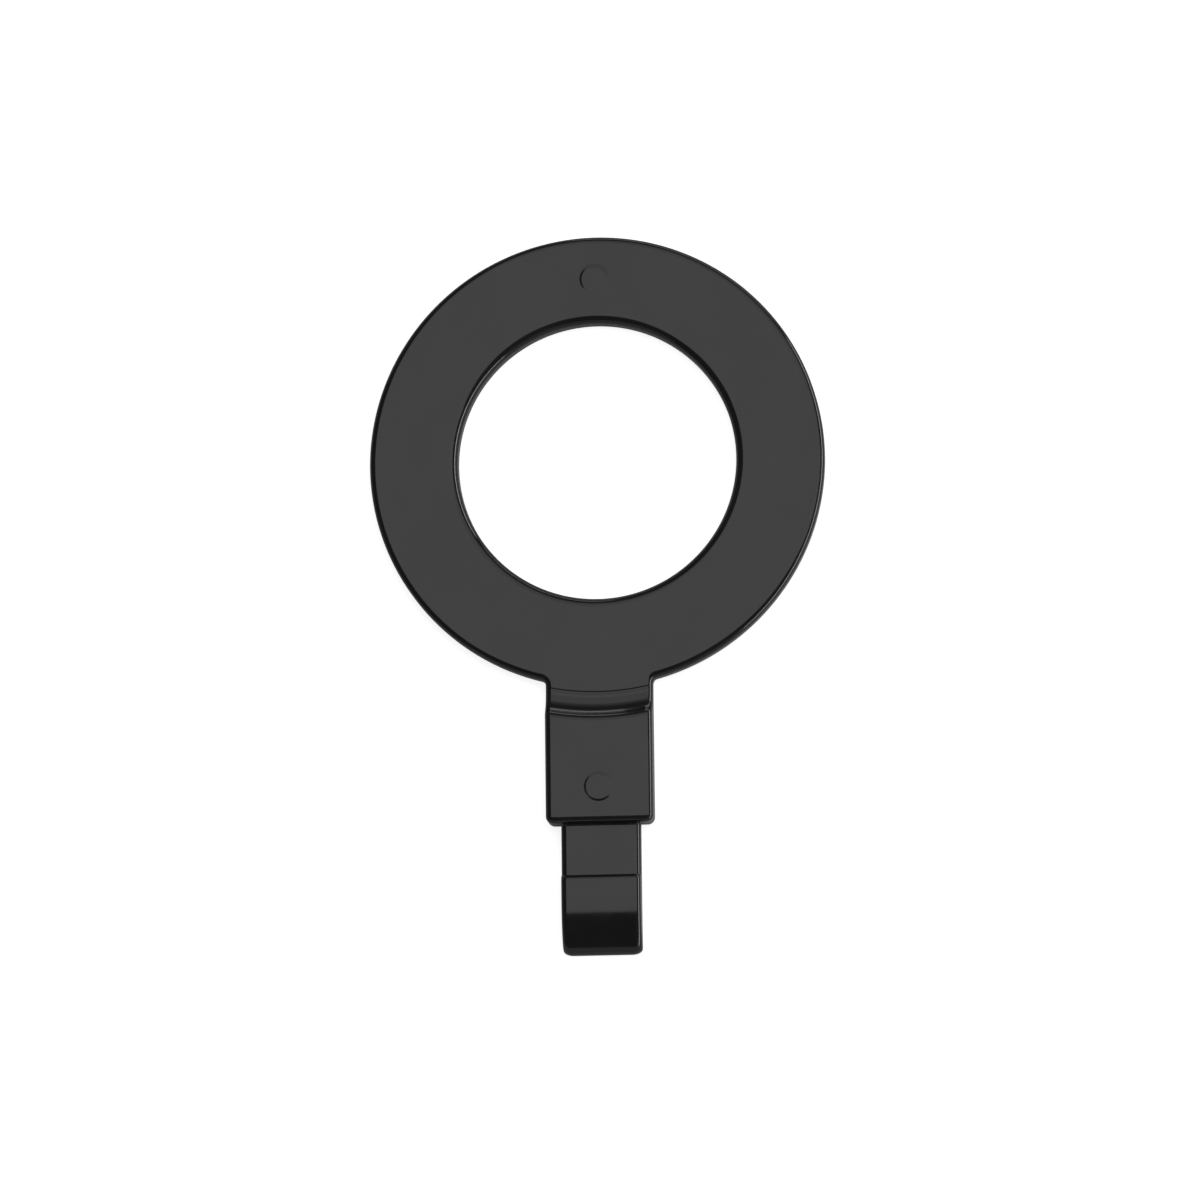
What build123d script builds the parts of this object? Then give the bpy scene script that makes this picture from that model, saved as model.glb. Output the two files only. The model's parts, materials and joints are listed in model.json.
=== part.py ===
from build123d import *
import math
import os

# A ring holder for a razor or brush handle: a flat ring on a short stem that clips into a slot.
# The real thing is one injection moulding in black plastic. It is written here as six solids
# that meet face to face where the moulding changes form.
#
# Frame: millimetres. The origin is the centre of the bore, in the plane of the flat back.
# +Z points out of the front face, the stem runs along -Y, and X goes across it.
# A "reach" is a distance from the bore's axis along -Y.

# ---- ring --------------------------------------------------------------------------------
ring_outer_dia = 50.0
bore_dia = 30.6
ring_thickness = 2.3
front_edge_round = 0.75  # front edges of ring, root and block
bore_edge_round = 1.0  # front edge of the bore, rounder so that it leads the handle in
back_edge_round = 0.6  # edges of the flat back, except the bore's
bore_back_break = 0.15  # small chamfer where the bore meets the back

# ---- root of the stem, turned about the ring's axis --------------------------------------
crease_offset = 0.8  # fine line where the ring's face ends, past the ring's rim
crease_width = 0.44
crease_depth = 0.06
cove_gap = 0.22  # from the crease to the start of the cove
cove_radius = 3.1  # hollow that climbs to the block
lip_radius = 1.1  # rounding at the top of the climb
root_corner_round = 0.6  # plan corners between ring and stem

# ---- stop block --------------------------------------------------------------------------
block_width = 11.7
block_length = 11.0  # its flat top, from the shoulder to the end face
block_rise = 1.4  # its top above the ring's face
block_corner_round = 0.8

# ---- tongue: neck, catch and claw --------------------------------------------------------
tongue_width = 8.65
neck_top_drop = 0.2  # neck's top below the ring's face
neck_thickness = 1.8
neck_length = 5.55
catch_rise = 0.8  # height of the catch's step above the neck
catch_edge_round = 0.6  # rounding along the top of the step
catch_length = 2.5
claw_run = 6.1  # length of the claw's outer curve along the stem
claw_tip_thickness = 1.9
claw_drop = 0.3  # the tip's lowest point below the neck's underside
tongue_corner_round = 0.6
tongue_edge_round = 0.7

# ---- ejector pin marks -------------------------------------------------------------------
witness_dia = 3.0
witness_height = 0.05
ring_witness_inset = 4.8  # from the rim, opposite the stem
block_witness_inset = 3.9  # from the end face

# ---- worked out from the sizes above -----------------------------------------------------
ring_radius = ring_outer_dia / 2
bore_radius = bore_dia / 2
block_top = ring_thickness + block_rise
crease_reach = ring_radius + crease_offset
cove_reach = crease_reach + cove_gap
climb_angle = math.acos(1 - block_rise / (cove_radius + lip_radius))
cove_end_reach = cove_reach + cove_radius * math.sin(climb_angle)
cove_end_height = ring_thickness + cove_radius * (1 - math.cos(climb_angle))
shoulder_reach = cove_end_reach + lip_radius * math.sin(climb_angle)
block_reach = shoulder_reach + block_length
neck_top = ring_thickness - neck_top_drop
neck_bottom = neck_top - neck_thickness
catch_reach = block_reach + neck_length
catch_top = neck_top + catch_rise
claw_reach = catch_reach + catch_length
claw_tip_height = neck_bottom - claw_drop
tip_reach = claw_reach + claw_run
above = block_top + 5.0  # a height that clears the whole moulding, for cutting tools

os.makedirs("parts", exist_ok=True)


def meets_front(edge):
    """True for an edge that runs along the front of the moulding, not down a wall."""
    runs_flat = abs(edge.tangent_at(0.5).Z) < 0.9
    return runs_flat and edge.center().Z > ring_thickness - 0.01


def on_bore(edge):
    """True for an edge that runs around the bore."""
    start = edge.position_at(0)
    return math.hypot(start.X, start.Y) < bore_radius + 0.01


def upright(face):
    """True for a wall that stands square to the back."""
    return abs(face.normal_at().Z) < 0.01


def faces_front(face):
    """True for a face that can be seen from the front, however steep it is."""
    return face.normal_at().Z > 0.05


# ---- plate: the form that ring, root and block share -------------------------------------
with BuildPart() as plate:
    with BuildSketch() as outline:
        Circle(ring_radius)
        with Locations((0, -block_reach / 2)):
            Rectangle(block_width, block_reach)
        fillet(outline.vertices().group_by(Axis.Y)[0], radius=block_corner_round)
        root_corners = outline.vertices().filter_by(
            lambda v: abs(math.hypot(v.X, v.Y) - ring_radius) < 0.001 and v.Y < 0
        )
        fillet(root_corners, radius=root_corner_round)
        Circle(bore_radius, mode=Mode.SUBTRACT)
    extrude(amount=block_top)

    # Facing cut: level over the ring, up the cove and over the lip to the block's top.
    with BuildSketch(Plane.XZ) as facing:
        with BuildLine():
            level = Line((0, ring_thickness), (cove_reach, ring_thickness))
            cove = RadiusArc(level @ 1, (cove_end_reach, cove_end_height), -cove_radius)
            lip = RadiusArc(cove @ 1, (shoulder_reach, block_top), lip_radius)
            Polyline(lip @ 1, (shoulder_reach, above), (0, above), level @ 0)
        make_face()
    revolve(axis=Axis.Z, mode=Mode.SUBTRACT)

    front_edges = plate.faces().filter_by(upright).edges().filter_by(meets_front)
    fillet(front_edges.filter_by(lambda edge: not on_bore(edge)), radius=front_edge_round)
    fillet(front_edges.filter_by(on_bore), radius=bore_edge_round)
    back_edges = plate.faces().sort_by(Axis.Z)[0].edges()
    fillet(back_edges.filter_by(lambda edge: not on_bore(edge)), radius=back_edge_round)
    chamfer(back_edges.filter_by(on_bore), length=bore_back_break)

    # The crease, a fine V turned into the face where the ring ends.
    with BuildSketch(Plane.XZ) as crease:
        with BuildLine():
            Polyline(
                (crease_reach - crease_width / 2, ring_thickness),
                (crease_reach, ring_thickness - crease_depth),
                (crease_reach + crease_width / 2, ring_thickness),
                close=True,
            )
        make_face()
    revolve(axis=Axis.Z, mode=Mode.SUBTRACT)

    # Ejector pins leave a low round mark on the ring and one on the block.
    with BuildSketch(Plane.XY.offset(ring_thickness)):
        with Locations((0, ring_radius - ring_witness_inset)):
            Circle(witness_dia / 2)
    extrude(amount=witness_height)
    with BuildSketch(Plane.XY.offset(block_top)):
        with Locations((0, block_witness_inset - block_reach)):
            Circle(witness_dia / 2)
    extrude(amount=witness_height)

# ---- tongue: the form that neck, catch and claw share ------------------------------------
with BuildPart() as tongue:
    with BuildSketch(Plane.YZ.offset(-tongue_width / 2)) as side:
        with BuildLine():
            Polyline(
                (-block_reach, neck_bottom),
                (-block_reach, neck_top),
                (-catch_reach, neck_top),
                (-catch_reach, catch_top - catch_edge_round),
            )
            RadiusArc(
                (-catch_reach, catch_top - catch_edge_round),
                (-catch_reach - catch_edge_round, catch_top),
                -catch_edge_round,
            )
            Line((-catch_reach - catch_edge_round, catch_top), (-claw_reach, catch_top))
            EllipticalCenterArc(
                (-claw_reach, claw_tip_height),
                claw_run,
                catch_top - claw_tip_height,
                start_angle=90,
                arc_size=90,
            )
            Line((-tip_reach, claw_tip_height), (claw_tip_thickness - tip_reach, claw_tip_height))
            EllipticalCenterArc(
                (-claw_reach, claw_tip_height),
                claw_run - claw_tip_thickness,
                neck_bottom - claw_tip_height,
                start_angle=90,
                arc_size=90,
            )
            Line((-claw_reach, neck_bottom), (-block_reach, neck_bottom))
        make_face()
    extrude(amount=tongue_width)

    across = tongue.faces().filter_by(faces_front).edges()
    along = tongue.faces().filter_by(upright).filter_by(Axis.Y, reverse=True).edges()
    fillet(across.filter_by(lambda edge: edge in along), radius=tongue_edge_round)

    # Rounded plan corners at the tip.
    with BuildSketch(Plane.XY.offset(claw_tip_height)) as plan:
        with Locations((0, -(block_reach + tip_reach) / 2)):
            Rectangle(tongue_width, tip_reach - block_reach)
        fillet(plan.vertices().group_by(Axis.Y)[0], radius=tongue_corner_round)
    extrude(amount=above, mode=Mode.INTERSECT)

# ---- holding ring: takes the handle, and its rim carries the head -------------------------
with BuildPart() as holding_ring:
    add(plate.part)
    Cylinder(ring_radius, above, align=(Align.CENTER, Align.CENTER, Align.MIN), mode=Mode.INTERSECT)
holding_ring.part.label = "holding_ring"
export_step(holding_ring.part, "parts/holding_ring.step")

# ---- root web: joins the ring to the block and climbs to the block's top -----------------
with BuildPart() as root_web:
    add(plate.part)
    Cylinder(shoulder_reach, above, align=(Align.CENTER, Align.CENTER, Align.MIN), mode=Mode.INTERSECT)
    Cylinder(ring_radius, above, align=(Align.CENTER, Align.CENTER, Align.MIN), mode=Mode.SUBTRACT)
root_web.part.label = "root_web"
export_step(root_web.part, "parts/root_web.step")

# ---- stop block: too wide for the slot, so its end face stops the stem -------------------
with BuildPart() as stop_block:
    add(plate.part)
    Cylinder(shoulder_reach, above, align=(Align.CENTER, Align.CENTER, Align.MIN), mode=Mode.SUBTRACT)
stop_block.part.label = "stop_block"
export_step(stop_block.part, "parts/stop_block.step")

# ---- neck tongue: the thin plate that lies in the slot -----------------------------------
with BuildPart() as neck_tongue:
    add(tongue.part)
    split(bisect_by=Plane.XZ.offset(catch_reach), keep=Keep.BOTTOM)
neck_tongue.part.label = "neck_tongue"
export_step(neck_tongue.part, "parts/neck_tongue.step")

# ---- catch plate: its step holds the stem in the slot ------------------------------------
with BuildPart() as catch_plate:
    add(tongue.part)
    split(bisect_by=Plane.XZ.offset(catch_reach), keep=Keep.TOP)
    split(bisect_by=Plane.XZ.offset(claw_reach), keep=Keep.BOTTOM)
catch_plate.part.label = "catch_plate"
export_step(catch_plate.part, "parts/catch_plate.step")

# ---- hook claw: the curved end that leads in and hooks behind the slot -------------------
with BuildPart() as hook_claw:
    add(tongue.part)
    split(bisect_by=Plane.XZ.offset(claw_reach), keep=Keep.TOP)
hook_claw.part.label = "hook_claw"
export_step(hook_claw.part, "parts/hook_claw.step")
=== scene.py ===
import json
import math

import bpy
import numpy as np
from mathutils import Matrix, Vector


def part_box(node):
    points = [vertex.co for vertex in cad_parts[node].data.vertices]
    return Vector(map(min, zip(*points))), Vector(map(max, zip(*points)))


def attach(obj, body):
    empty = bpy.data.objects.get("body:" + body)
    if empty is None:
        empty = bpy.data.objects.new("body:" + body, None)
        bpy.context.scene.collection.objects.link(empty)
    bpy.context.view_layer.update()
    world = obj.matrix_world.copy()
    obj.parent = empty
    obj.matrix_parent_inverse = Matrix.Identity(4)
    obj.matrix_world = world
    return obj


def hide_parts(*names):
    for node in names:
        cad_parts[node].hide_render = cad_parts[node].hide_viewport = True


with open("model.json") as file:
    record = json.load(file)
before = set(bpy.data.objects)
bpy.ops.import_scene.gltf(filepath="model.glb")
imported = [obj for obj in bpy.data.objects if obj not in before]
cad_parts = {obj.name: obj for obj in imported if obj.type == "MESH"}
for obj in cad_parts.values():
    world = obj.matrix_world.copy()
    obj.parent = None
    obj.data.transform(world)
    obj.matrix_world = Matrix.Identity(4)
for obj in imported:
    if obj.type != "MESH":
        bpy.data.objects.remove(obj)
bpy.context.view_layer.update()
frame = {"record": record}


# ---- Holding ring ------------------------------------------------------------------------
# The flat ring that a razor or brush handle drops through. It is moulded in one shot with the
# stem, in solid black plastic, with round edges front and back, rounder still around the bore.

mm = 0.001
mounts = {mount["name"]: mount for mount in frame["record"]["mounts"]}
ring_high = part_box("holding_ring")[1]
block_low, block_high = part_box("stop_block")
rim_radius = ring_high.y
bore_radius = mounts["bore"]["dims"]["r_mm"] * mm
pin_rise = 0.05 * mm  # the frame's boxes take in its pin marks, and the faces lie this far below
face_height = ring_high.z - pin_rise
block_height = block_high.z - pin_rise
block_half = block_high.x
block_end = block_low.y
front_round = 0.75 * mm
bore_round = 1.0 * mm
back_round = 0.6 * mm
bore_break = 0.15 * mm
root_round = 0.6 * mm
block_corner = 0.8 * mm
pin_radius = 1.5 * mm
pin_height = 0.065 * mm
pin_edge_half = 0.22 * mm
# Distances from a pin mark's centre where the grids have lines, closest together at its edge.
pin_steps = pin_radius * np.array(
    [0.2, 0.45, 0.7, 0.84, 0.89, 0.92, 0.95, 0.975, 1.0, 1.025, 1.05, 1.08, 1.11, 1.18, 1.35]
)
pin_patch = 1.9 * pin_radius
grid_guard = 0.06 * mm
ring_pin = (0.0, rim_radius - 4.8 * mm)

crease_reach = rim_radius + 0.8 * mm
crease_half = 0.22 * mm
crease_depth = 0.06 * mm
cove_start = crease_reach + 0.22 * mm
cove_radius = 3.1 * mm
lip_radius = 1.1 * mm
climb_angle = math.acos(1 - (block_height - face_height) / (cove_radius + lip_radius))
cove_end = cove_start + cove_radius * math.sin(climb_angle)
shoulder_reach = cove_end + lip_radius * math.sin(climb_angle)
block_pin = (0.0, block_end + 3.9 * mm)


def quarter_drop(depth, radius):
    """How far a quarter-round edge lies below its face: a circle's height, by the depth in from
    the wall."""
    inward = radius - np.clip(depth, 0.0, radius)
    return radius - np.sqrt(np.maximum(radius**2 - inward**2, 0.0))


def outline_depth(x, y):
    """Depth in from the plan outline: the larger of the depths in the ring's disc and in the stem's
    bar, except beside a root corner, where it is the distance from the corner's own arc."""
    in_disc = rim_radius - np.hypot(x, y)
    past_end = y - block_end
    corner_x = np.abs(x) - (block_half - block_corner)
    corner_y = block_corner - past_end
    in_corner = block_corner - np.hypot(np.maximum(corner_x, 0), np.maximum(corner_y, 0))
    in_corner = np.where((corner_x > 0) & (corner_y > 0), in_corner, np.inf)
    in_bar = np.minimum(np.minimum(block_half - np.abs(x), past_end), in_corner)
    in_bar = np.where(y < 0, in_bar, -np.inf)
    depth = np.maximum(in_disc, in_bar)
    # Root corner: an arc that touches the disc and the side of the bar from outside.
    arc_x = block_half + root_round
    arc_y = -math.sqrt((rim_radius + root_round) ** 2 - arc_x**2)
    from_arc_x, from_arc_y = arc_x - np.abs(x), arc_y - y
    beside = (from_arc_x > 0) & (y > arc_y * (1 + 1e-9)) & (np.abs(x) * arc_y > y * arc_x)
    arc_depth = np.hypot(from_arc_x, from_arc_y) - root_round
    return np.where(beside, np.maximum(arc_depth, 0.0), depth)


def turned_height(reach):
    """Height of the turned face by its distance from the bore's axis: level over the ring, a fine
    V crease, a hollow arc that climbs and a small round lip at the top."""
    crease = crease_depth * np.clip(1 - np.abs(reach - crease_reach) / crease_half, 0, 1)
    along = np.clip(reach - cove_start, 0, cove_end - cove_start)
    hollow = cove_radius - np.sqrt(cove_radius**2 - along**2)
    over = np.clip(shoulder_reach - reach, 0, shoulder_reach - cove_end)
    lip = block_height - lip_radius + np.sqrt(lip_radius**2 - over**2)
    return np.where(reach < cove_end, face_height + hollow - crease, lip)


def pin_circles(across, along):
    """Factor that eases a grid's squares about a pin mark into circles: the larger of the two offsets
    over the distance from the centre, fading to 1 over the outer third of the patch."""
    square = np.maximum(np.abs(across), np.abs(along))
    ease = np.clip((pin_patch - square) / (0.35 * pin_patch), 0, 1)
    return 1 - ease * (1 - square / np.maximum(np.hypot(across, along), 1e-12))


def pin_mark(x, y, centre):
    """Height of an ejector pin's mark: a round flat that stands a little proud, with a soft edge
    that follows a smooth step, 3t^2 - 2t^3."""
    off = np.hypot(x - centre[0], y - centre[1])
    inside = np.clip((pin_radius + pin_edge_half - off) / (2 * pin_edge_half), 0, 1)
    return pin_height * inside**2 * (3 - 2 * inside)


def front_height(x, y):
    """Height of the front at a place in plan: the turned face, less its round edge, plus the
    pin marks."""
    height = turned_height(np.hypot(x, y)) - quarter_drop(outline_depth(x, y), front_round)
    return height + pin_mark(x, y, ring_pin) + pin_mark(x, y, block_pin)


def back_height(x, y):
    """Height of the back: level, rounded up along the plan outline."""
    return quarter_drop(outline_depth(x, y), back_round)


def pack_stations(*runs):
    """One sorted list of stations from several runs, with near repeats left out."""
    every = np.sort(np.concatenate([np.atleast_1d(run) for run in runs]))
    return every[np.concatenate([[True], np.diff(every) > 1e-9])]


crisp_angle = math.radians(50)


def skin(name, points, wrap_rows):
    """Mesh from a grid of points, rows by columns. Columns run round a closed section and always
    wrap. Rows wrap for a ring, or else the two end sections are closed with fans about their
    middles. Edges that turn through more than crisp_angle stay crisp."""
    rows, cols = points.shape[:2]
    first = np.arange(rows if wrap_rows else rows - 1)[:, None]
    col = np.arange(cols)[None, :]
    below, right = (first + 1) % rows, (col + 1) % cols
    corners = [first * cols + col, first * cols + right, below * cols + right, below * cols + col]
    quads = np.stack(corners, -1)
    verts, faces = points.reshape(-1, 3), [quads.reshape(-1, 4)]
    if not wrap_rows:
        centres = np.stack([points[0].mean(0), points[-1].mean(0)])
        verts = np.concatenate([verts, centres])
        ring = np.arange(cols)
        start, end, total = ring, (rows - 1) * cols + ring, rows * cols
        faces.append(np.stack([np.roll(start, -1), start, np.full(cols, total)], -1))
        faces.append(np.stack([end, np.roll(end, -1), np.full(cols, total + 1)], -1))
    mesh = bpy.data.meshes.new(name)
    mesh.from_pydata(verts.tolist(), [], [face for block in faces for face in block.tolist()])
    mesh.validate()
    mesh.polygons.foreach_set("use_smooth", np.ones(len(mesh.polygons), bool))
    mesh.set_sharp_from_angle(angle=crisp_angle)
    mesh.update()
    piece = bpy.data.objects.new(name, mesh)
    bpy.context.scene.collection.objects.link(piece)
    return piece


def ring_grid():
    """Points of the ring: a closed section (front, rim wall, back, bore wall) carried round the bore.
    Lines are closer together beside the stem's two corners and about the pin mark."""
    round_steps = np.linspace(0, math.pi / 2, 11)
    pin_reach = ring_pin[1]
    face_in, face_out = bore_radius + bore_round, rim_radius - front_round
    reaches = pack_stations(
        bore_radius + bore_round * (1 - np.cos(round_steps)),
        [face_in + grid_guard, face_out - grid_guard],
        np.linspace(face_in, face_out, 9),
        pin_reach + pin_steps,
        pin_reach - pin_steps,
        [pin_reach],
        rim_radius - front_round * (1 - np.sin(round_steps)),
    )
    stem_side = math.asin(block_half / rim_radius)
    near_stem = math.radians(1.9)
    corner = np.linspace(stem_side - near_stem, stem_side + near_stem, 45)
    pin_angles = pin_steps / pin_reach
    even_turns = 288
    turn = pack_stations(
        np.linspace(-math.pi, math.pi, even_turns + 1)[:-1],
        math.pi - corner,
        corner - math.pi,
        pin_angles,
        -pin_angles,
    )
    angle, reach = np.meshgrid(turn, reaches, indexing="ij")
    across, along = angle * pin_reach, reach - pin_reach
    shrink = pin_circles(across, along)
    angle, reach = across * shrink / pin_reach, pin_reach + along * shrink
    x, y = -reach * np.sin(angle), reach * np.cos(angle)
    z = front_height(x, y)
    # Around the bore the face drops in a rounding of its own.
    front = np.stack([x, y, z - quarter_drop(reach - bore_radius, bore_round)], -1)

    def wall(at):
        """Points down an upright wall at one reach, from the front's edge to the back's."""
        px, py = -at * np.sin(turn), at * np.cos(turn)
        top = front_height(px, py) - quarter_drop(np.full_like(px, at - bore_radius), bore_round)
        low = back_height(px, py) + max(bore_radius + bore_break - at, 0)
        return [np.stack([px, py, low + (top - low) * share], -1)[:, None] for share in (0.9, 0.5, 0.1)]

    def back(at):
        """Points of the back at one reach."""
        px, py = -at * np.sin(turn), at * np.cos(turn)
        low = back_height(px, py) + max(bore_radius + bore_break - at, 0)
        return np.stack([px, py, low], -1)[:, None]

    inset = back_round * (1 - np.cos(round_steps))
    break_in = bore_break * np.array([1.6, 1, 0.5, 0])
    mid_reach = 0.5 * (rim_radius + bore_radius)
    back_reaches = np.concatenate([rim_radius - inset, [mid_reach], bore_radius + break_in])
    under = [back(at) for at in back_reaches]
    return np.concatenate([front] + wall(rim_radius) + under + wall(bore_radius)[::-1], axis=1)


holding_ring = skin("moulded_ring", ring_grid(), wrap_rows=True)
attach(holding_ring, "root")
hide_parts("holding_ring")


# ---- Root web ----------------------------------------------------------------------------
# The short root between ring and block. Its face was turned with the ring's in the mould: a fine
# crease, then a hollow that climbs to the block. It is one with the ring, in the same plastic.

wall_shares = np.array([0.95, 0.7, 0.35, 0.05])


def bar_grid(rows_x_edge, row_y, pin=None):
    """Points of a length of the stem's bar. Each row is a closed section: over the front from right
    to left, down the left wall, along the back and up the right wall. rows_x_edge is each row's half
    width, and row_y(x, row) gives the places of its points along the stem."""
    steps = np.linspace(0, math.pi / 2, 11)
    edge_in = front_round * (1 - np.sin(steps))
    half = np.concatenate([block_half - edge_in, [block_half - front_round - grid_guard]])
    flat = np.linspace(1.5 * pin_radius, block_half - front_round - 2 * grid_guard, 9)
    inner = pack_stations([0], pin_steps, flat, half)
    across = np.concatenate([inner[::-1], -inner[1:]])
    # Stations are placed for the full width and follow the edge in where the row is narrower or wider.
    outer_run = block_half - front_round - 2 * pin_radius
    follow = np.clip((np.abs(across) - 2 * pin_radius) / outer_run, 0, 1)
    x = across[None, :] + np.sign(across)[None, :] * (rows_x_edge[:, None] - block_half) * follow[None, :]
    rows = np.arange(len(rows_x_edge))[:, None]
    y = row_y(x, rows)
    if pin is not None:
        off_x, off_y = x - pin[0], y - pin[1]
        shrink = pin_circles(off_x, off_y)
        x, y = pin[0] + off_x * shrink, pin[1] + off_y * shrink
    front = np.stack([x, y, front_height(x, y)], -1)
    parts = [front]

    def wall(side, shares):
        """Points down one side wall: the given shares of the way from its foot to its top."""
        px = side * rows_x_edge
        py = row_y(px[:, None], rows)[:, 0]
        top, low = front_height(px, py), back_height(px, py)
        return [np.stack([px, py, low + (top - low) * share], -1)[:, None] for share in shares]

    def back(side, inset):
        """Points of the back, inset from one side wall."""
        px = side * (rows_x_edge - inset)
        py = row_y(px[:, None], rows)[:, 0]
        return np.stack([px, py, back_height(px, py)], -1)[:, None]

    insets = back_round * (1 - np.cos(steps))
    parts += wall(-1, wall_shares) + [back(-1, inset) for inset in insets]
    parts += [back(-1, 0.5 * block_half), back(1, 0.5 * block_half)]
    parts += [back(1, inset) for inset in insets[::-1]] + wall(1, wall_shares[::-1])
    return np.concatenate(parts, axis=1)


def root_edge(reach):
    """Half width of the root at a distance from the bore's axis: the bar's, flared by the corner arcs."""
    arc_x = block_half + root_round
    arc_y = math.sqrt((rim_radius + root_round) ** 2 - arc_x**2)
    span = math.hypot(arc_x, arc_y)
    # Where the circle of this reach crosses the corner's arc.
    along = (reach**2 - root_round**2 + span**2) / (2 * span)
    off = np.sqrt(np.maximum(reach**2 - along**2, 0))
    on_arc = (arc_x * along - arc_y * off) / span
    straight = math.hypot(block_half, arc_y)
    return np.where(reach < straight, on_arc, block_half)


corner_run = 0.46 * mm
root_reaches = pack_stations(
    rim_radius + corner_run * np.linspace(0, 1, 12) ** 2,
    crease_reach + crease_half * np.array([-1.6, -1, -0.5, 0, 0.5, 1]),
    np.linspace(cove_start, cove_end, 30),
    cove_end + (shoulder_reach - cove_end) * np.sin(np.linspace(0, math.pi / 2, 13)),
)
root_web = skin(
    "moulded_root",
    bar_grid(root_edge(root_reaches), lambda x, row: -np.sqrt(root_reaches[row] ** 2 - x**2)),
    wrap_rows=False,
)
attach(root_web, "root")
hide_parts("root_web")


# ---- Stop block --------------------------------------------------------------------------
# The square block that stops the stem at the slot. It is thicker than the ring, and an ejector
# pin has left its round mark here as well as on the ring.

from_end = pack_stations(
    front_round * (1 - np.sin(np.linspace(0, math.pi / 2, 13))),
    back_round * (1 - np.cos(np.linspace(0, math.pi / 2, 11))),
    [front_round + grid_guard],
)
pin_rows = np.concatenate([[0], pin_steps, [1.6 * pin_radius]])
block_rows = -pack_stations(
    -(block_end + from_end),
    -(block_pin[1] + pin_rows),
    -(block_pin[1] - pin_rows),
    np.linspace(shoulder_reach, -block_pin[1] - 2 * pin_radius, 14),
)
# The first rows are arcs about the bore, like the root's last, and straighten before the pin mark.
straight_reach = -block_pin[1] - 2 * pin_radius
straighten = np.clip((-block_rows - shoulder_reach) / (straight_reach - shoulder_reach), 0, 1)


def block_row_y(x, row):
    """Place along the stem of a block row: an arc at the shoulder, easing to a straight line."""
    sag = shoulder_reach - np.sqrt(shoulder_reach**2 - x**2)
    return block_rows[row] + sag * (1 - straighten[row])


corner_in = np.clip(block_corner - (block_rows - block_end), 0, block_corner)
block_edge = block_half - block_corner + np.sqrt(block_corner**2 - corner_in**2)
stop_block = skin("moulded_block", bar_grid(block_edge, block_row_y, pin=block_pin), wrap_rows=False)
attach(stop_block, "root")
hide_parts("stop_block")


# ---- Neck tongue -------------------------------------------------------------------------
# The thin flat neck that lies in the slot. It grows out of the block's end face with a small
# fillet, so that the corner doesn't crack when the neck bends.

neck_low, neck_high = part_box("neck_tongue")
neck_half = neck_high.x
tongue_round = 0.7 * mm
neck_fillet = 0.2 * mm


def carried_section(top, normal, low, half, edge_round, under_break=0.12 * mm):
    """A flat strip with round upper edges, carried along a path in the YZ plane. top and low are the
    path's points on the outer and inner face, normal points out of the outer face, and half is the
    half width. Each section runs over the top from right to left, down, back under and up."""
    steps = np.linspace(0, math.pi / 2, 10)
    count = len(top)
    width = np.broadcast_to(half, count)[:, None]
    radius = np.broadcast_to(edge_round, count)[:, None]
    right_x = width - radius * (1 - np.cos(steps))
    sink = radius * (1 - np.sin(steps))
    flat = np.concatenate([[0.985], np.linspace(0.9, 0.1, 5), [0]])
    over = np.concatenate([flat, -flat[-2::-1]])
    x = np.concatenate([right_x, (width - radius) * over, -right_x[:, ::-1]], axis=1)
    sink = np.concatenate([sink, np.zeros((count, len(over))), sink[:, ::-1]], axis=1)
    yz = top[:, None, :] - normal[:, None, :] * sink[..., None]
    over_top = np.concatenate([x[..., None], yz], -1)

    shoulder = top - normal * radius
    up = shoulder - low
    rise = np.linalg.norm(up, axis=1, keepdims=True)
    up = up / rise

    def point(px, yz_point):
        """One point of every section: its place across, with its place in the YZ plane."""
        return np.concatenate([np.broadcast_to(px, (count, 1)), yz_point], -1)[:, None]

    corner = low + up * under_break
    walls_left = [point(-width, corner + (shoulder - corner) * share) for share in wall_shares]
    walls_right = [point(width, corner + (shoulder - corner) * share) for share in wall_shares[::-1]]
    under = [
        point(-width, corner),
        point(-width + under_break, low),
        point(-width + 3 * under_break, low),
        point(width - 3 * under_break, low),
        point(width - under_break, low),
        point(width, corner),
    ]
    return np.concatenate([over_top] + walls_left + under + walls_right, axis=1)


neck_in = neck_fillet * (1 - np.cos(np.linspace(0, math.pi / 2, 9)))
neck_flat = np.linspace(2 * neck_fillet, block_end - neck_low.y, 8)
neck_along = pack_stations(neck_in, [1.4 * neck_fillet], neck_flat)
neck_rise = neck_fillet - np.sqrt(neck_fillet**2 - np.clip(neck_fillet - neck_along, 0, neck_fillet) ** 2)
neck_y = block_end - neck_along
neck_top = np.stack([neck_y, neck_high.z + neck_rise], -1)
neck_under = np.stack([neck_y, np.full_like(neck_y, neck_low.z)], -1)
neck_up = np.stack([np.zeros_like(neck_y), np.ones_like(neck_y)], -1)
neck_grid = carried_section(neck_top, neck_up, neck_under, neck_half, tongue_round)
neck = skin("moulded_neck", neck_grid, wrap_rows=False)
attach(neck, "root")
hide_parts("neck_tongue")


# ---- Catch plate -------------------------------------------------------------------------
# The step that snaps behind the slot's lip. Its edge is rounded so that it rides over the lip.

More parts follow.
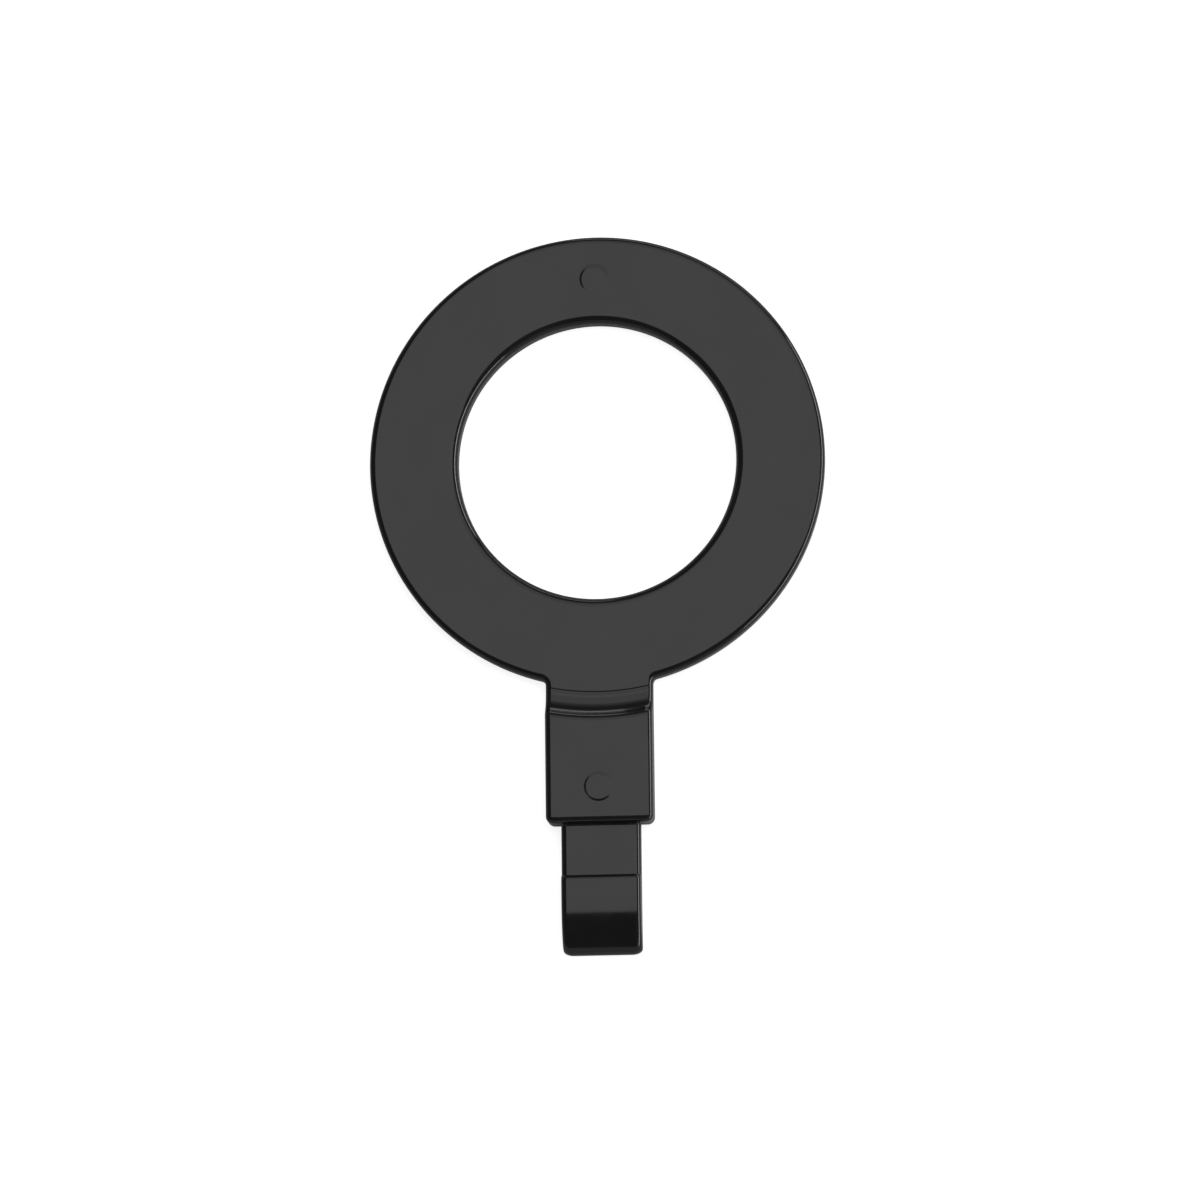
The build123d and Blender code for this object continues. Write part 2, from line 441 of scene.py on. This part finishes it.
catch_low, catch_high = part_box("catch_plate")
catch_edge = 0.6 * mm
edge_steps = np.linspace(0, math.pi / 2, 9)
catch_along = pack_stations(
    catch_edge * (1 - np.cos(edge_steps)),
    [1.1 * catch_edge],
    np.linspace(1.5 * catch_edge, catch_high.y - catch_low.y, 7),
)
catch_y = catch_high.y - catch_along
catch_top = np.stack([catch_y, catch_high.z - quarter_drop(catch_along, catch_edge)], -1)
catch_under = np.stack([catch_y, np.full_like(catch_y, catch_low.z)], -1)
catch_up = np.stack([np.zeros_like(catch_y), np.ones_like(catch_y)], -1)
catch_grid = carried_section(catch_top, catch_up, catch_under, neck_half, tongue_round)
catch = skin("moulded_catch", catch_grid, wrap_rows=False)
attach(catch, "root")
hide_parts("catch_plate")


# ---- Hook claw ---------------------------------------------------------------------------
# The end of the tongue, which curls down like a bent finger. It leads the tongue into the slot
# and hooks behind it. Inside and outside are quarter ellipses.

claw_low, claw_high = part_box("hook_claw")
claw_tip_thick = 1.9 * mm
tip_round = 0.25 * mm
turned = np.linspace(0, math.pi / 2, 49)
run, drop = claw_high.y - claw_low.y, claw_high.z - claw_low.z - tip_round
inner_run, inner_drop = run - claw_tip_thick, catch_low.z - claw_low.z - tip_round
tip_level = claw_low.z + tip_round
outer = np.stack([claw_high.y - run * np.sin(turned), tip_level + drop * np.cos(turned)], -1)
inner = np.stack([claw_high.y - inner_run * np.sin(turned), tip_level + inner_drop * np.cos(turned)], -1)
outward = np.stack([-drop * np.sin(turned), run * np.cos(turned)], -1)
outward /= np.linalg.norm(outward, axis=1, keepdims=True)
claw_grid = carried_section(outer, outward, inner, neck_half, tongue_round)
tip_corner = 0.5 * mm
# The tip: the last section, drawn in and down by a quarter round.
last = claw_grid[-1]
middle = (last.max(0) + last.min(0)) / 2
reach_out = np.maximum((last.max(0) - last.min(0)) / 2, 1e-9)
tip_steps = np.linspace(0, math.pi / 2, 8)[1:]
tip_scale = 1 - tip_round * (1 - np.cos(tip_steps))[:, None] / reach_out[None, :2]
tip = np.repeat(last[None], len(tip_steps), axis=0)
tip[..., :2] = middle[:2] + (last[None, :, :2] - middle[:2]) * tip_scale[:, None, :]
tip[..., 2] = tip_level - tip_round * np.sin(tip_steps)[:, None]
claw_grid = np.concatenate([claw_grid, tip])
# In plan the tip's corners are quarter rounds, so the width shrinks along the last stretch.
from_tip = np.clip(claw_grid[..., 1] - claw_low.y, 0, tip_corner)
claw_grid[..., 0] *= 1 - (tip_corner - np.sqrt(tip_corner**2 - (tip_corner - from_tip) ** 2)) / neck_half
claw = skin("moulded_claw", claw_grid, wrap_rows=False)
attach(claw, "root")
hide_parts("hook_claw")


# ---- Black plastic -----------------------------------------------------------------------
# Solid black injection moulded plastic, semi-gloss from a polished mould. The skin has a faint
# orange-peel swell, fine mould polish and slightly uneven gloss.


def black_plastic():
    """Near-black body colour under a clear 4 percent reflection. Noise in Object coordinates swells
    the surface by microns and shifts the roughness a little; very fine noise gives mould polish."""
    material = bpy.data.materials.new("black_plastic")
    material.use_nodes = True
    nodes, links = material.node_tree.nodes, material.node_tree.links
    shader = nodes["Principled BSDF"]
    shader.inputs["IOR"].default_value = 1.5
    place = nodes.new("ShaderNodeTexCoord")

    def noise(scale_mm, detail, rough=0.5):
        node = nodes.new("ShaderNodeTexNoise")
        node.inputs["Scale"].default_value = 1 / (scale_mm * mm)
        node.inputs["Detail"].default_value = detail
        node.inputs["Roughness"].default_value = rough
        links.new(place.outputs["Object"], node.inputs["Vector"])
        return node.outputs["Fac"]

    def spread(value, low, high):
        node = nodes.new("ShaderNodeMapRange")
        node.inputs["From Min"].default_value = 0.3
        node.inputs["From Max"].default_value = 0.7
        node.inputs["To Min"].default_value = low
        node.inputs["To Max"].default_value = high
        links.new(value, node.inputs["Value"])
        return node.outputs["Result"]

    def bump(height, depth_mm, below=None):
        node = nodes.new("ShaderNodeBump")
        node.inputs["Strength"].default_value = 1.0
        node.inputs["Distance"].default_value = depth_mm * mm
        links.new(height, node.inputs["Height"])
        if below is not None:
            links.new(below, node.inputs["Normal"])
        return node.outputs["Normal"]

    tint = nodes.new("ShaderNodeMix")
    tint.data_type = "RGBA"
    tint.inputs["A"].default_value = (0.0075, 0.0075, 0.0078, 1)
    tint.inputs["B"].default_value = (0.0125, 0.0125, 0.0128, 1)
    links.new(spread(noise(6.0, 3.0), 0.0, 1.0), tint.inputs["Factor"])
    links.new(tint.outputs["Result"], shader.inputs["Base Color"])
    links.new(spread(noise(2.5, 4.0), 0.09, 0.15), shader.inputs["Roughness"])
    swell = bump(noise(3.2, 1.0), 0.004)
    links.new(bump(noise(0.12, 2.0), 0.0006, swell), shader.inputs["Normal"])
    return material


plastic = black_plastic()
for piece in (holding_ring, root_web, stop_block, neck, catch, claw):
    piece.data.materials.clear()
    piece.data.materials.append(plastic)


# ---- Studio ------------------------------------------------------------------------------
# A pale floor under a wide soft light overhead, which fades towards the rear, with lit cards to
# the right, behind and in front.

floor_mesh = bpy.data.meshes.new("floor")
floor_half = 1.5
floor_corners = [(x * floor_half, y * floor_half, 0) for x, y in ((-1, -1), (1, -1), (1, 1), (-1, 1))]
floor_mesh.from_pydata(floor_corners, [], [(0, 1, 2, 3)])
floor = bpy.data.objects.new("floor", floor_mesh)
bpy.context.scene.collection.objects.link(floor)
paper = bpy.data.materials.new("pale_paper")
paper.use_nodes = True
paper_nodes, paper_links = paper.node_tree.nodes, paper.node_tree.links
paper_shader = paper_nodes["Principled BSDF"]
paper_shader.inputs["Base Color"].default_value = (0.8, 0.8, 0.8, 1)
paper_shader.inputs["Roughness"].default_value = 1.0
paper_shader.inputs["Specular IOR Level"].default_value = 0.0
glow = paper_nodes.new("ShaderNodeEmission")
glow.inputs["Color"].default_value = (1, 1, 1, 1)
ray = paper_nodes.new("ShaderNodeLightPath")
seen_glow = paper_nodes.new("ShaderNodeMath")
seen_glow.operation = "MULTIPLY"
seen_glow.inputs[1].default_value = 0.8
paper_links.new(ray.outputs["Is Camera Ray"], seen_glow.inputs[0])
paper_links.new(seen_glow.outputs["Value"], glow.inputs["Strength"])
both = paper_nodes.new("ShaderNodeAddShader")
paper_links.new(paper_shader.outputs["BSDF"], both.inputs[0])
paper_links.new(glow.outputs["Emission"], both.inputs[1])
paper_links.new(both.outputs["Shader"], paper_nodes["Material Output"].inputs["Surface"])
floor.data.materials.append(paper)


def softbox(name, place, size, radiance, aim=(0, -0.015, 0)):
    """A rectangular area light that faces aim. Its power gives the stated radiance."""
    light = bpy.data.lights.new(name, "AREA")
    light.shape = "RECTANGLE"
    light.size, light.size_y = size
    light.energy = radiance * math.pi * size[0] * size[1]
    lamp = bpy.data.objects.new(name, light)
    bpy.context.scene.collection.objects.link(lamp)
    lamp.location = place
    lamp.rotation_euler = (Vector(aim) - Vector(place)).to_track_quat("-Z", "Y").to_euler()
    return lamp


height = 0.6
left, right = -math.tan(math.radians(23)), math.tan(math.radians(48))
middle_x = height * (left + right) / 2
for name, start, end, radiance in (
    ("overhead_softbox", -12, 18, 1.15),
    ("overhead_softbox_rear", 18, 45, 0.9),
    ("overhead_fade_near", 45, 52, 0.5),
    ("overhead_fade_far", 52, 60, 0.2),
):
    near, far = height * math.tan(math.radians(start)), height * math.tan(math.radians(end))
    middle_y = (near + far) / 2
    size = (height * (right - left), far - near)
    softbox(name, (middle_x, middle_y, height), size, radiance, aim=(middle_x, middle_y, 0))
softbox("right_card", (0.7, -0.05, 0.07), (1.4, 0.14), 6.0, aim=(0, -0.05, 0.07))
softbox("rear_card", (0.28, 0.8, 0.055), (0.84, 0.11), 2.0, aim=(0.28, 0, 0.055))
softbox("front_card", (0.0, -0.8, 0.13), (1.6, 0.26), 0.3, aim=(0, 0, 0.13))

world = bpy.data.worlds.new("studio")
world.use_nodes = True
world.node_tree.nodes["Background"].inputs["Color"].default_value = (0.9, 0.9, 0.9, 1)
world.node_tree.nodes["Background"].inputs["Strength"].default_value = 0.1
bpy.context.scene.world = world
bpy.context.scene.view_settings.view_transform = "Standard"

# The camera looks down on the front, a little from the stem's end and from the right.
lean_right, lean_down, roll = math.radians(5.04), math.radians(10.62), math.radians(-0.65)
lean = Vector((math.tan(lean_right), -math.tan(lean_down), 1)).normalized()
eye = Vector((0, 0, 1.75 * mm)) + lean * 734 * mm
aim = Vector((0.23, -15.53, 2.0)) * mm
towards = (eye - aim).normalized()
level_x = Vector((0, 1, 0)).cross(towards).normalized()
level_y = towards.cross(level_x)
camera_x = level_x * math.cos(roll) + level_y * math.sin(roll)
camera_y = level_y * math.cos(roll) - level_x * math.sin(roll)
camera_data = bpy.data.cameras.new("camera")
camera_data.sensor_width = 36
camera_data.lens = 36 * (eye - aim).length / (130.9 * mm)
camera = bpy.data.objects.new("camera", camera_data)
bpy.context.scene.collection.objects.link(camera)
camera.matrix_world = Matrix.Translation(eye) @ Matrix((camera_x, camera_y, towards)).transposed().to_4x4()
camera_data.clip_start = 0.01
bpy.context.scene.camera = camera
